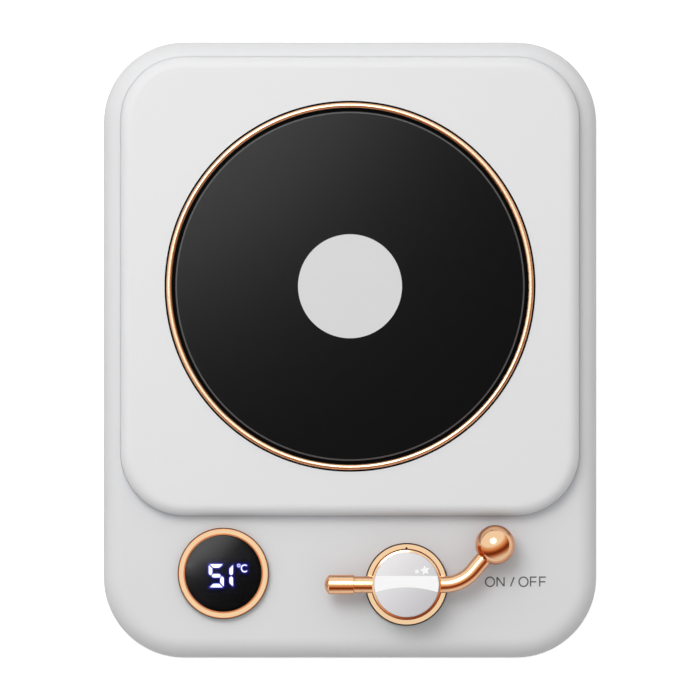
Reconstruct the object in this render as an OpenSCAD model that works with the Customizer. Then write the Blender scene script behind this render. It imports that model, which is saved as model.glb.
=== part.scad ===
// Electric mug warmer styled as a small record player.
// Millimetres. +X right, +Y rear, +Z up. The origin is on the table, under the middle of the body.
// The tone arm is the switch: it turns a crank under the deck, which pushes a slide switch.

/* [Body] */
// Side of the raised square platform
platform_w = 121; // [118:1:136]
// Deck left showing at each side of the platform
side_margin = 4.5; // [4.5:0.5:9]
// Deck left showing behind the platform
rear_margin = 3.9; // [3.5:0.1:8]
// Length of the control panel in front of the platform
panel_l = 37.5; // [37:0.5:46]
// Height of the deck above the table
deck_z = 25; // [24.5:0.5:31]
// Height of the platform above the deck
platform_rise = 5; // [4.5:0.5:7]
// Plan radius of the body's corners
corner_r = 21.2; // [19:0.2:23]
// Rounding of the body's top edge
edge_r = 5; // [3:0.5:5.5]
// Plan radius of the platform's corners
platform_corner_r = 16.9; // [14:0.1:20]
// Rounding of the platform's top edge
platform_edge_r = 3; // [2:0.5:3.5]
// Thickness of the side walls
wall = 2.4; // [2:0.1:2.8]
// Thickness of the deck
deck_t = 2.5; // [2.2:0.1:3]
// Depth that the platform is let into the deck
seat_depth = 0.4; // [0.3:0.1:0.8]
// Thickness of the bottom cover
floor_t = 2.4; // [2:0.1:3]
// Gap between the table and the bottom cover
ground_gap = 2; // [1.5:0.5:3]
// Radius of a rubber foot
foot_r = 6; // [5:0.5:7]
// Length of a slot in the bottom cover
vent_l = 36; // [24:1:40]
// Width of a slot in the bottom cover
vent_w = 2; // [1.5:0.5:3]

/* [Heater] */
// Radius of the glass plate
plate_r = 46; // [43:0.5:47]
// Thickness of the glass plate
plate_t = 3; // [2.6:0.2:3.4]
// Height of the glass above the platform
plate_proud = 0.6; // [0.4:0.1:1]
// Width of the black groove round the glass
groove_w = 1; // [0.8:0.1:1.4]
// Width of the copper ring
ring_w = 1.4; // [1.2:0.1:2]
// Height of the copper ring above the platform
ring_proud = 0.9; // [0.7:0.1:1.4]
// Gap between the copper ring and its well
well_gap = 0.3; // [0.2:0.05:0.5]
// Wall of the heater well
well_wall = 2; // [1.6:0.2:2.4]
// Radius of the round label in the middle of the glass
label_r = 13.7; // [10:0.1:18]
// Thickness of the label
label_t = 0.3; // [0.2:0.05:0.5]
// Thickness of the aluminium heat spreader
spreader_t = 2; // [1.6:0.2:2.4]
// Thickness of the heating film
film_t = 0.5; // [0.4:0.1:0.7]
// Thickness of the insulation pad
pad_t = 3; // [2:0.5:3.5]
// Thickness of the clamp bracket
clamp_t = 1.2; // [1:0.1:1.5]
// Radius of the temperature sensor
sensor_r = 2.4; // [2:0.1:3]
// Radius of the thermal fuse
fuse_r = 2; // [1.6:0.1:2.2]
// Length of the thermal fuse
fuse_l = 10; // [8:0.5:11]

/* [Display] */
// Display centre, in from the body's left side
display_side = 31.6; // [31.3:0.1:34]
// Display centre, behind the front edge
display_front = 22.3; // [21.5:0.1:23]
// Radius of the display window
lens_r = 10.2; // [9.9:0.1:10.6]
// Thickness of the display window at its rim
lens_t = 1.6; // [1.2:0.1:2]
// Rise of the display window's domed face
lens_dome = 0.35; // [0.1:0.05:0.4]
// Width of the display's copper bezel
bezel_w = 1.8; // [1.5:0.1:2]
// Height of the display's bezel above the deck
bezel_proud = 1.6; // [1.2:0.1:2.2]
// Width of the digit module
module_w = 15; // [13:0.5:15.5]
// Depth of the digit module
module_d = 9.6; // [8:0.2:10]
// Height of the digit module
module_h = 7; // [5:0.5:8]

/* [Knob] */
// Knob centre, in from the body's right side
knob_side = 50.1; // [48:0.1:52]
// Knob centre, behind the front edge
knob_front = 19.4; // [18.5:0.1:19.8]
// Radius of the knob
knob_r = 9.1; // [8.8:0.1:9.6]
// Height of the knob's top above the deck
knob_h = 9.6; // [9.4:0.1:11]
// Radius of the pearl inlay
inlay_r = 8.75; // [8:0.05:8.8]
// Thickness of the pearl inlay
inlay_t = 1.1; // [0.9:0.1:1.2]
// Height of the inlay above the knob's rim
inlay_proud = 0.3; // [0.1:0.05:0.5]
// Outer radius of the knob's copper bezel
knob_bezel_r = 10.9; // [10.5:0.1:11.5]
// Height of the knob's bezel above the deck
knob_bezel_h = 1.2; // [0.8:0.1:1.6]
// Radius of the spindle
spindle_r = 3; // [2.5:0.1:3.2]
// Distance from the spindle's axis to the crank pin
crank_throw = 3.92; // [3.8:0.02:4.1]
// Radius of the crank pin
crank_pin_r = 0.75; // [0.6:0.05:0.8]
// Angle that the arm turns between on and off
swing = 45; // [30:1:45]

/* [Tone arm] */
// Radius of the arm and of the tail rod
rod_r = 2.2; // [1.8:0.1:2.3]
// Height of the arm's axis above the deck
arm_rise = 6; // [5.9:0.1:6.2]
// Distance from the knob's axis to the bend
arm_straight = 9.9; // [9.7:0.1:11]
// Radius of the bend
bend_r = 10; // [8:0.1:11]
// Angle of the bend
bend_angle = 50; // [30:1:52]
// Distance from the bend to the middle of the ball
tip_l = 9; // [8:0.1:9.6]
// Radius of the ball
ball_r = 5.25; // [4.5:0.05:5.5]
// Radius of the counterweight
weight_r = 2.55; // [2.5:0.05:3]
// Distance from the knob's axis to the counterweight
weight_at = 13.8; // [13:0.1:15]
// Length of the counterweight
weight_l = 7.8; // [6:0.1:8.4]
// Height of the counterweight's domed end
weight_dome = 1.2; // [0.6:0.1:2]

/* [Electronics] */
// Width of the power board
power_w = 70; // [66:1:76]
// Length of the power board
power_l = 60; // [56:1:62]
// Thickness of both boards
board_t = 1.6; // [1.2:0.2:1.6]
// Height of the posts under the power board
post_h = 3; // [2.5:0.5:3.5]
// Width of the inlet socket
jack_w = 9; // [8:0.5:11]
// Length of the inlet socket
jack_l = 13.5; // [12:0.5:15]
// Height of the inlet socket
jack_h = 10.8; // [9:0.2:11]
// Radius of the inlet's bore
jack_bore_r = 3.15; // [2.75:0.05:3.5]
// Radius of the inlet's centre pin
jack_pin_r = 1; // [0.6:0.05:1.3]
// Radius of the opening for the plug in the rear wall
inlet_r = 5.2; // [4.8:0.1:6]
// Width of the ribbon cable
ribbon_w = 12; // [8:1:12]
// Thickness of the ribbon cable
ribbon_t = 0.8; // [0.6:0.1:1]

/* [Fits] */
// Gap round a piece that is pushed in
fit = 0.02; // [0.01:0.01:0.05]
// Gap round the spindle in its bush
run_fit = 0.05; // [0.03:0.01:0.08]
// Gap round a cover or a lens
seam = 0.1; // [0.08:0.02:0.15]
// Gap between pieces that pass each other
air = 0.3; // [0.2:0.05:0.35]

/* [Hidden] */
$fn = 96;

// Body, in plan
body_w = platform_w + 2 * side_margin;
body_l = rear_margin + platform_w + panel_l;
front_y = -body_l / 2;
rear_y = body_l / 2;
plate_y = rear_y - rear_margin - platform_w / 2;
inner_w = body_w - 2 * wall;
inner_l = body_l - 2 * wall;
case_boss = [body_w / 2 - 12, body_l / 2 - 11.7];
case_boss_r = 3.5;
foot_inset = [19, 23.2];
foot_at = [body_w / 2 - foot_inset.x, body_l / 2 - foot_inset.y];
platform_boss = platform_w / 2 - 13.5;
platform_screw_l = 2.6;
platform_boss_r = 3;
platform_wall = 2.5;

// Body, in height
floor_z = ground_gap + floor_t;
case_pad_h = 2;
case_screw_l = 10;
case_pad_r = 4.5;
case_boss_z = floor_z + case_pad_h;
deck_under = deck_z - deck_t;
platform_z = deck_z - seat_depth;
platform_top = deck_z + platform_rise;
foot_recess = 1;
vent_side = 3;
vent_pitch = 6;

// Heater stack, from the glass down
plate_top = platform_top + plate_proud;
plate_z = plate_top - plate_t;
gasket_t = 0.6;
ledge_z = plate_z - gasket_t;
ledge_t = 1.8;
spreader_z = plate_z - spreader_t;
film_z = spreader_z - film_t;
pad_z = film_z - pad_t;
clamp_z = pad_z - clamp_t;

// Heater radii, from the glass out and in
ring_in = plate_r + groove_w;
ring_out = ring_in + ring_w;
well_r = ring_out + well_gap;
well_out = well_r + well_wall;
deck_opening_r = well_out + 1.3;
ledge_in = plate_r - 2.5;
spreader_r = ledge_in - 1.5;
pad_r = ledge_in - 2.5;
film_r = pad_r - 1;
clamp_disc_r = 30;
clamp_boss_at = ledge_in + 4;
clamp_boss_r = 3;
clamp_screw_l = 3.6;
clamp_arm_w = 8;
sensor_h = clamp_t + pad_t + 1.4;
sensor_z = film_z - sensor_h;
fuse_z = clamp_z - fuse_r - 0.4;
fuse_x = -24;
tab_r = film_r + 2.8;
tab_w = 7;
lead_at = [-(pad_r + 1.2), 2];

// Display
display_x = -body_w / 2 + display_side;
display_y = front_y + display_front;
bezel_in = lens_r + fit;
bezel_out = bezel_in + bezel_w;
barrel_r = bezel_in + 0.65;
barrel_in = lens_r - 0.8;
barrel_z = deck_under - 1.2;
bezel_top = deck_z + bezel_proud;
lens_top = bezel_top - 0.4;
lens_z = lens_top - lens_t;
module_top = lens_z - 0.2;
module_z = module_top - module_h;
retainer_w = 1.6;
retainer_t = 1;

// Knob and spindle
knob_x = body_w / 2 - knob_side;
knob_y = front_y + knob_front;
hub = [knob_x, knob_y];
arm_z = deck_z + arm_rise;
cap_z = deck_z + 0.4;
cap_top = deck_z + knob_h;
cap_wall = 1.7;
inlay_z = cap_top + inlay_proud - inlay_t;
inlay_bevel = 0.3;
cap_edge = 0.15;
index_r = 0.3;
flange_r = spindle_r + 3;
flange_t = 1;
bush_r = spindle_r + 1.5;
bush_z = deck_under - 2.1;
nut_t = 1.8;
nut_r = bush_r + 2.4;
collar_r = spindle_r + 1.6;
collar_z = deck_z + flange_t + run_fit;
cavity_top = arm_z - rod_r - 0.7;
spindle_top = arm_z + 1;
rod_start = collar_r;
bend_relief = 0.02;
ball_seat = 0.4 * ball_r;
weight_bore_l = 3;
flat_at = spindle_r * 0.8;
journal_r = spindle_r - 0.6;

// Crank and slide switch, from the bush down
crank_gap = 1;
crank_r = crank_throw + 2.3;
crank_t = 1.8;
crank_top = bush_z - crank_gap;
crank_z = crank_top - crank_t;
crank_pin_l = 2;
crank_pin_z = crank_z - crank_pin_l;
crank_rest = -90 + swing / 2;
crank_screw_head_r = 2;
crank_screw_head_h = 1.5;
crank_screw_r = 1.2;
crank_screw_l = 5;
switch_top = crank_pin_z - air;
switch_h = 3.8;
switch_w = 10.6;
switch_d = 5.2;
switch_wall = 0.5;
switch_top_t = 0.8;
switch_y = knob_y - crank_throw * (1 + cos(swing / 2)) / 2;
slider_travel = 2 * crank_throw * sin(swing / 2);
slider_x = knob_x + slider_travel / 2;
fork_slot = 2 * (crank_pin_r + 0.1);
fork_w = fork_slot + 1.7;
fork_d = 2 * (knob_y - crank_screw_head_r - air - switch_y);
slider_foot_w = fork_w + 2;
slider_foot_d = switch_d - 2 * switch_wall - 0.2;

// Boards
power_z = floor_z + post_h;
power_top = power_z + board_t;
power_rear = rear_y - wall - 1.5;
power_y = power_rear - power_l / 2;
power_hole_x = power_w / 2 - 4;
power_hole_y = power_l / 2 - 4;
board_screw_head_r = 1.9;
post_r = 3;
jack_front = rear_y - wall - air;
inlet_z = power_top + jack_h / 2;
jack_depth = 10;
ribbon_socket_w = ribbon_w + 2;
ribbon_gap = 3.6;
ribbon_end = 5.5;
ribbon_x = power_hole_x - board_screw_head_r - ribbon_gap - ribbon_socket_w / 2;
chip_w = 7;
chip_h = 1.4;
control_top = switch_top - switch_h;
control_z = control_top - board_t;
control_left = display_x - 15.1;
control_right = ribbon_x + ribbon_socket_w / 2 + ribbon_end;
control_front = knob_y - 11.7;
control_rear = display_y + 11.4;
control_posts = [
  for (x = [control_left + 2.5, control_right - 2.5], y = [control_front + 2.5, control_rear - 2.5]) [x, y]
];
control_post_r = 2.5;
control_screw_l = 4;
connector_h = 4;
ribbon_socket_h = 3;
ribbon_socket_d = 4;
ribbon_rear = power_y - power_l / 2 + 4;
ribbon_front = control_rear - 3.5;
ribbon_run = max(power_top, control_top) + 5;
ribbon_bend = 1.6;
heater_socket = [-22, plate_y + 9.2];
sensor_socket = [-6, plate_y + 13.2];

// Screws: radius of the shank and of the head, height of the head
case_screw = [1.25, 2.8, 1.7];
small_screw = [1.1, 2.2, 1.4];
board_screw = [0.9, board_screw_head_r, 1.2];

// Colours
shell_white = [0.87, 0.87, 0.87];
copper = [0.87, 0.62, 0.44];
glass_black = [0.08, 0.08, 0.09];
steel = [0.75, 0.75, 0.77];
board_green = [0.1, 0.4, 0.22];
black = [0.12, 0.12, 0.12];

// ---- Shared shapes ----

// Copies its children to the four points (+-x, +-y)
module at_corners(x, y) {
  for (sx = [-1, 1], sy = [-1, 1]) translate([sx * x, sy * y]) children();
}

// Flat rectangle with round corners
module rounded_rect(w, l, r) {
  square([w - 2 * r, l], center = true);
  square([w, l - 2 * r], center = true);
  at_corners(w / 2 - r, l / 2 - r) circle(r);
}

// Half section of a slab whose upper outer edge is rounded
module edge_section(reach, h, r) {
  square([reach, h - r]);
  square([reach - r, h]);
  intersection() {
    translate([reach - r, h - r]) circle(r);
    square([reach, h]);
  }
}

// One side of a rounded slab, facing +X
module slab_side(at, l, h, corner, edge) {
  translate([at - corner, 0, 0]) rotate([90, 0, 0])
    linear_extrude(l, center = true) edge_section(corner, h, edge);
}

// One corner of a rounded slab, between +X and +Y
module slab_corner(x, y, h, corner, edge) {
  translate([x - corner, y - corner, 0]) rotate_extrude(angle = 90) edge_section(corner, h, edge);
}

// Slab with round corners in plan and a rounded upper edge
module rounded_slab(w, l, h, corner, edge) {
  for (turn = [0, 180]) rotate([0, 0, turn]) {
    slab_side(w / 2, l - 2 * corner, h, corner, edge);
    slab_corner(w / 2, l / 2, h, corner, edge);
  }
  for (turn = [90, 270]) rotate([0, 0, turn]) {
    slab_side(l / 2, w - 2 * corner, h, corner, edge);
    slab_corner(l / 2, w / 2, h, corner, edge);
  }
  translate([0, 0, h / 2]) cube([w - 2 * corner, l - 2 * corner, h], center = true);
}

// Round bar with a flat, along +Z
module d_bar(r, flat, h) {
  linear_extrude(h) difference() {
    circle(r);
    translate([flat, -r]) square([r, 2 * r]);
  }
}

// Flat ring on z = 0
module ring(r_in, r_out, h) {
  difference() {
    cylinder(r = r_out, h = h);
    translate([0, 0, -1]) cylinder(r = r_in, h = h + 2);
  }
}

// Screw whose head's bearing face is at z = 0 and whose shank points up
module screw(spec, l) {
  recess_w = 0.3 * spec[1];
  recess_l = 1.2 * spec[1];
  difference() {
    union() {
      cylinder(r = spec[0], h = l);
      translate([0, 0, -spec[2]]) cylinder(r = spec[1], h = spec[2]);
    }
    translate([0, 0, -spec[2]]) {
      cube([recess_l, recess_w, spec[2]], center = true);
      cube([recess_w, recess_l, spec[2]], center = true);
    }
  }
}

// Straight round bar from a to b
module bar_between(a, b, r) {
  d = b - a;
  translate(a) rotate([0, acos(d.z / norm(d)), atan2(d.y, d.x)]) cylinder(r = r, h = norm(d));
}

// Insulated wire through a list of points, with a slightly wider knuckle at each bend
module wire(points, r) {
  for (i = [1:len(points) - 1]) bar_between(points[i - 1], points[i], r);
  for (i = [1:len(points) - 2]) translate(points[i]) sphere(r = 1.08 * r);
}

// Box that stands on z = 0, centred in plan
module block(w, l, h) {
  translate([0, 0, h / 2]) cube([w, l, h], center = true);
}

// ---- Casing ----

module deck_shell() {
  shell_h = deck_z - ground_gap;
  color(shell_white) difference() {
    union() {
      difference() {
        translate([0, 0, ground_gap]) rounded_slab(body_w, body_l, shell_h, corner_r, edge_r);
        translate([0, 0, ground_gap - 1])
          linear_extrude(shell_h - deck_t + 1) rounded_rect(inner_w, inner_l, corner_r - wall);
      }
      translate([0, 0, case_boss_z]) at_corners(case_boss.x, case_boss.y)
        cylinder(r = case_boss_r, h = deck_under - case_boss_z + 1);
      for (p = control_posts) translate([p.x, p.y, control_top])
        cylinder(r = control_post_r, h = deck_under - control_top + 1);
    }
    platform_recess();
    translate([0, plate_y, deck_under - 1]) cylinder(r = deck_opening_r, h = deck_t + 2);
    translate([0, plate_y, deck_under - 1]) at_corners(platform_boss, platform_boss)
      cylinder(r = small_screw[0] + 0.3, h = deck_t + 2);
    translate([display_x, display_y, deck_under - 1]) cylinder(r = barrel_r + seam, h = deck_t + 2);
    translate([hub.x, hub.y, deck_under - 1]) cylinder(r = bush_r + seam, h = deck_t + 2);
    knob_pegs(deck_under - 1, deck_t + 2, seam / 2);
    translate([0, 0, case_head_z()]) at_corners(case_boss.x, case_boss.y)
      cylinder(r = case_screw[0] + fit, h = case_screw_l + 1);
    for (p = control_posts) translate([p.x, p.y, control_z])
      cylinder(r = board_screw[0] + fit, h = board_t + control_screw_l + 1);
    translate([0, rear_y + 1, inlet_z]) rotate([90, 0, 0]) cylinder(r = inlet_r, h = wall + 2);
  }
}

// Shallow recess that the platform stands in
module platform_recess() {
  translate([0, plate_y, platform_z]) linear_extrude(seat_depth + 1)
    rounded_rect(platform_w + 2 * seam, platform_w + 2 * seam, platform_corner_r + seam);
}

module platform_cover() {
  h = platform_top - platform_z;
  inside = platform_w - 2 * platform_wall;
  color(shell_white) translate([0, plate_y, 0]) difference() {
    union() {
      difference() {
        translate([0, 0, platform_z])
          rounded_slab(platform_w, platform_w, h, platform_corner_r, platform_edge_r);
        translate([0, 0, platform_z - 1]) linear_extrude(h - platform_wall + 1)
          rounded_rect(inside, inside, platform_corner_r - platform_wall);
      }
      translate([0, 0, ledge_z - ledge_t])
        cylinder(r = well_out, h = platform_top - ledge_z + ledge_t - 1);
      translate([0, 0, platform_z]) at_corners(platform_boss, platform_boss)
        cylinder(r = platform_boss_r, h = h - 1);
      clamp_points() translate([0, 0, pad_z]) cylinder(r = clamp_boss_r, h = ledge_z - pad_z);
    }
    translate([0, 0, ledge_z]) cylinder(r = well_r, h = h + 10);
    translate([0, 0, pad_z - 1]) cylinder(r = ledge_in, h = h + 10);
    translate([0, 0, platform_z - 1]) at_corners(platform_boss, platform_boss)
      cylinder(r = small_screw[0] + fit, h = platform_screw_l + 1.2);
    clamp_points() translate([0, 0, clamp_z])
      cylinder(r = board_screw[0] + fit, h = clamp_t + clamp_screw_l + 0.4);
  }
}

// The four clamp screws' axes, on the diagonals of the well
module clamp_points() {
  for (turn = [45:90:315]) rotate([0, 0, turn]) translate([clamp_boss_at, 0, 0]) children();
}

module bottom_cover() {
  gap = 2 * (wall + 2 * seam);
  color(shell_white) difference() {
    union() {
      translate([0, 0, ground_gap]) linear_extrude(floor_t)
        rounded_rect(body_w - gap, body_l - gap, corner_r - gap / 2);
      translate([0, 0, floor_z - 1]) at_corners(case_boss.x, case_boss.y)
        cylinder(r = case_pad_r, h = case_pad_h + 1);
      translate([0, power_y, floor_z - 1]) at_corners(power_hole_x, power_hole_y)
        cylinder(r = post_r, h = post_h + 1);
    }
    at_corners(case_boss.x, case_boss.y) {
      cylinder(r = case_screw[0] + 0.4, h = case_boss_z + 1);
      cylinder(r = case_screw[1] + 0.4, h = case_head_z());
    }
    at_corners(foot_at.x, foot_at.y) cylinder(r = foot_r + seam / 2, h = ground_gap + foot_recess);
    translate([0, power_y, floor_z - 0.2]) at_corners(power_hole_x, power_hole_y)
      cylinder(r = board_screw[0] + fit, h = post_h + 1);
    vent_slots();
  }
}

// Height of the counterbore's floor, which the case screws' heads bear on
function case_head_z() = floor_z + 0.2;

module vent_slots() {
  vent_y = control_rear + (power_y - power_l / 2 - control_rear) / 2;
  for (i = [-vent_side:vent_side])
    translate([i * vent_pitch, vent_y, ground_gap - 1]) linear_extrude(floor_t + 2) {
    square([vent_w, vent_l - vent_w], center = true);
    for (side = [-1, 1]) translate([0, side * (vent_l - vent_w) / 2]) circle(vent_w / 2);
  }
}

module rubber_feet() {
  h = ground_gap + foot_recess;
  round_r = 0.6;
  color(black) at_corners(foot_at.x, foot_at.y) rotate_extrude() {
    translate([0, round_r]) square([foot_r, h - round_r]);
    square([foot_r - round_r, h]);
    translate([foot_r - round_r, round_r]) circle(round_r);
  }
}

module case_screws() {
  color(steel) translate([0, 0, case_head_z()]) at_corners(case_boss.x, case_boss.y)
    screw(case_screw, case_screw_l);
}

module platform_screws() {
  color(steel) translate([0, plate_y, deck_under]) at_corners(platform_boss, platform_boss)
    screw(small_screw, deck_t - seat_depth + platform_screw_l);
}

// ---- Heater ----

module trim_ring() {
  round_r = ring_w / 2;
  top = platform_top + ring_proud;
  color(copper) translate([0, plate_y, 0]) rotate_extrude() {
    translate([ring_in, ledge_z]) square([ring_w, top - round_r - ledge_z]);
    translate([ring_in + round_r, top - round_r]) circle(round_r);
  }
}

module plate_gasket() {
  outer = ring_in - seam / 2;
  color(black) translate([0, plate_y, ledge_z]) {
    ring(ledge_in + air, outer, gasket_t);
    ring(plate_r + seam / 2, outer, gasket_t + plate_t - plate_proud);
  }
}

module glass_plate() {
  chamfer = 0.4;
  color(glass_black) translate([0, plate_y, 0]) difference() {
    union() {
      translate([0, 0, plate_z]) cylinder(r = plate_r, h = plate_t - chamfer);
      translate([0, 0, plate_top - chamfer])
        cylinder(r1 = plate_r, r2 = plate_r - chamfer, h = chamfer);
    }
    translate([0, 0, plate_top - label_t]) cylinder(r = label_r + seam / 2, h = label_t + 1);
  }
}

module centre_label() {
  color(shell_white) translate([0, plate_y, plate_top - label_t]) cylinder(r = label_r, h = label_t);
}

module heat_spreader() {
  color(steel) translate([0, plate_y, spreader_z]) cylinder(r = spreader_r, h = spreader_t);
}

module heating_film() {
  color("darkorange") translate([0, plate_y, film_z]) {
    cylinder(r = film_r, h = film_t);
    translate([-tab_r, -tab_w / 2, 0]) cube([tab_r, tab_w, film_t]);
  }
}

module insulation_pad() {
  color("beige") translate([0, plate_y, pad_z]) ring(sensor_r + seam, pad_r, pad_t);
}

module clamp_bracket() {
  arm_end = clamp_boss_at + clamp_boss_r;
  color(steel) translate([0, plate_y, clamp_z]) difference() {
    union() {
      cylinder(r = clamp_disc_r, h = clamp_t);
      for (turn = [45:90:315]) rotate([0, 0, turn])
        translate([0, -clamp_arm_w / 2, 0]) cube([arm_end, clamp_arm_w, clamp_t]);
      fuse_tabs();
    }
    translate([0, 0, -1]) cylinder(r = sensor_r + 0.6, h = clamp_t + 2);
    clamp_points() translate([0, 0, -1]) cylinder(r = board_screw[0] + 0.3, h = clamp_t + 2);
    translate([fuse_x - fuse_l, lead_at.y, fuse_z - clamp_z]) rotate([0, 90, 0])
      cylinder(r = fuse_r + fit, h = 2 * fuse_l);
  }
}

// Two ears under the bracket that hold the thermal fuse
module fuse_tabs() {
  ear_h = clamp_z - fuse_z + fuse_r + 0.8;
  for (side = [-1, 1]) translate([fuse_x + side * 0.3 * fuse_l, lead_at.y, -ear_h])
    block(1.2, 2 * fuse_r + 1.6, ear_h + clamp_t / 2);
}

module clamp_screws() {
  color(steel) translate([0, plate_y, clamp_z]) clamp_points() screw(board_screw, clamp_t + clamp_screw_l);
}

module temperature_sensor() {
  color("whitesmoke") translate([0, plate_y, sensor_z]) cylinder(r = sensor_r, h = sensor_h);
}

module sensor_leads() {
  color("ivory") for (side = [-1, 1])
    wire([
      [side * 0.9, plate_y, sensor_z],
      [side * 0.9, plate_y, sensor_z - 1.5],
      [sensor_socket.x + side, sensor_socket.y, power_top + connector_h + 1.5],
      [sensor_socket.x + side, sensor_socket.y, power_top + connector_h]
    ], 0.5);
}

module thermal_fuse() {
  color("silver") translate([fuse_x - fuse_l / 2, plate_y + lead_at.y, fuse_z]) rotate([0, 90, 0])
    cylinder(r = fuse_r, h = fuse_l);
}

module heater_leads() {
  above = power_top + connector_h;
  near_y = plate_y - lead_at.y;
  far_y = plate_y + lead_at.y;
  color("firebrick") {
    wire([
      [lead_at.x, near_y, film_z],
      [lead_at.x, near_y, above + 3],
      [heater_socket.x - 2, heater_socket.y, above + 2],
      [heater_socket.x - 2, heater_socket.y, above]
    ], 0.7);
    wire([
      [lead_at.x, far_y, film_z],
      [lead_at.x, far_y, fuse_z],
      [fuse_x - fuse_l / 2, far_y, fuse_z]
    ], 0.7);
    wire([
      [fuse_x + fuse_l / 2, far_y, fuse_z],
      [fuse_x + fuse_l / 2 + 2, far_y, fuse_z],
      [heater_socket.x + 2, heater_socket.y, above + 2],
      [heater_socket.x + 2, heater_socket.y, above]
    ], 0.7);
  }
}

// ---- Power board ----

module power_board() {
  color(board_green) translate([0, power_y, power_z]) difference() {
    block(power_w, power_l, board_t);
    translate([0, 0, -1]) at_corners(power_hole_x, power_hole_y)
      cylinder(r = board_screw[0] + 0.2, h = board_t + 2);
  }
}

module power_board_screws() {
  color(steel) translate([0, power_y, power_top]) at_corners(power_hole_x, power_hole_y)
    mirror([0, 0, 1]) screw(board_screw, board_t + post_h);
}

module dc_jack() {
  color(black) difference() {
    translate([0, jack_front - jack_l / 2, power_top]) block(jack_w, jack_l, jack_h);
    translate([0, jack_front + 1, inlet_z]) rotate([90, 0, 0])
      cylinder(r = jack_bore_r, h = jack_depth + 1);
  }
}

// Centre pin of the inlet
module jack_contacts() {
  color(steel) translate([0, jack_front - 1.5, inlet_z]) rotate([90, 0, 0])
    cylinder(r = jack_pin_r, h = jack_depth - 1.5);
}

module capacitors() {
  color([0.2, 0.25, 0.45]) for (y = [-2, 9.5])
    translate([power_w / 2 - 12, power_y + y, power_top]) cylinder(r = 4, h = 7.5);
}

module inductor() {
  color([0.25, 0.25, 0.27]) translate([-power_w / 2 + 13, power_y + 14, power_top]) difference() {
    block(10, 10, 5);
    translate([0, 0, 3]) ring(3, 4.2, 3);
  }
}

module heater_transistor() {
  color(black) translate([-power_w / 2 + 13, power_y, power_top]) {
    block(6.6, 6.1, 2.3);
    translate([0, 4.5, 0]) block(5.2, 3, 1);
  }
}

module wire_sockets() {
  color("ivory") {
    translate([heater_socket.x, heater_socket.y, power_top]) block(8, 5, connector_h);
    translate([sensor_socket.x, sensor_socket.y, power_top]) block(6, 5, connector_h);
  }
}

module ribbon_sockets() {
  color("ivory") {
    translate([ribbon_x, ribbon_rear, power_top])
      block(ribbon_socket_w, ribbon_socket_d, ribbon_socket_h);
    translate([ribbon_x, ribbon_front, control_top])
      block(ribbon_socket_w, ribbon_socket_d, ribbon_socket_h);
  }
}

// Side view of the ribbon: up from one socket, across and down into the other
module ribbon_section() {
  run = ribbon_rear - ribbon_front;
  half = ribbon_t / 2;
  rear_foot = power_top + ribbon_socket_h;
  front_foot = control_top + ribbon_socket_h;
  translate([ribbon_front + ribbon_bend, ribbon_run - half]) square([run - 2 * ribbon_bend, ribbon_t]);
  translate([ribbon_front - half, front_foot])
    square([ribbon_t, ribbon_run - ribbon_bend - front_foot]);
  translate([ribbon_rear - half, rear_foot])
    square([ribbon_t, ribbon_run - ribbon_bend - rear_foot]);
  translate([ribbon_front + ribbon_bend, ribbon_run - ribbon_bend]) ribbon_corner(-1);
  translate([ribbon_rear - ribbon_bend, ribbon_run - ribbon_bend]) ribbon_corner(1);
}

// Quarter ring that joins a riser to the run, on the side that is given
module ribbon_corner(side) {
  outer = ribbon_bend + ribbon_t / 2;
  intersection() {
    difference() {
      circle(outer);
      circle(ribbon_bend - ribbon_t / 2);
    }
    translate([side < 0 ? -outer : 0, 0]) square(outer);
  }
}

module ribbon_cable() {
  color([0.6, 0.6, 0.62]) translate([ribbon_x - ribbon_w / 2, 0, 0]) rotate([90, 0, 90])
    linear_extrude(ribbon_w) ribbon_section();
}

// ---- Control board and display ----

module control_board() {
  color(board_green) difference() {
    translate([control_left, control_front, control_z])
      cube([control_right - control_left, control_rear - control_front, board_t]);
    for (p = control_posts) translate([p.x, p.y, control_z - 1])
      cylinder(r = board_screw[0] + 0.2, h = board_t + 2);
  }
}

module control_board_screws() {
  color(steel) for (p = control_posts) translate([p.x, p.y, control_z])
    screw(board_screw, board_t + control_screw_l);
}

module microcontroller() {
  color(black) translate([(display_x + knob_x) / 2, display_y - 1, control_top])
    block(chip_w, chip_w, chip_h);
}

module display_spacer() {
  h = module_z - control_top;
  color(black) translate([display_x, display_y, control_top]) difference() {
    block(module_w - 1, module_d - 1, h);
    translate([0, 0, -1]) block(module_w - 5, module_d - 4, h + 2);
  }
}

module digit_module() {
  color([0.15, 0.15, 0.17]) translate([display_x, display_y, module_z])
    block(module_w, module_d, module_h);
}

module display_lens() {
  chamfer = 0.3;
  top = lens_t + lens_dome;
  dome_r = (pow(lens_r, 2) + pow(lens_dome, 2)) / (2 * lens_dome);
  slope = chamfer + lens_dome;
  color(glass_black) translate([display_x, display_y, lens_z]) rotate_extrude() intersection() {
    polygon([[0, 0], [lens_r, 0], [lens_r, top - slope], [lens_r - slope, top], [0, top]]);
    translate([0, top - dome_r]) circle(dome_r, $fn = 1440);
  }
}

// Half section of a bezel that stands on z = 0, with bevelled edges
module bezel_section(inner, outer, h) {
  outer_bevel = 0.35;
  inner_bevel = 0.5;
  polygon([
    [inner, 0], [outer, 0], [outer, h - outer_bevel], [outer - outer_bevel, h],
    [inner + inner_bevel, h], [inner, h - inner_bevel]
  ]);
}

module display_bezel() {
  color(copper) translate([display_x, display_y, 0]) rotate_extrude() {
    translate([0, deck_z]) bezel_section(bezel_in, bezel_out, bezel_proud);
    translate([bezel_in, barrel_z]) square([barrel_r - bezel_in, deck_z - barrel_z + 0.5]);
    translate([barrel_in, barrel_z]) square([barrel_r - barrel_in, lens_z - barrel_z]);
  }
}

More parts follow.
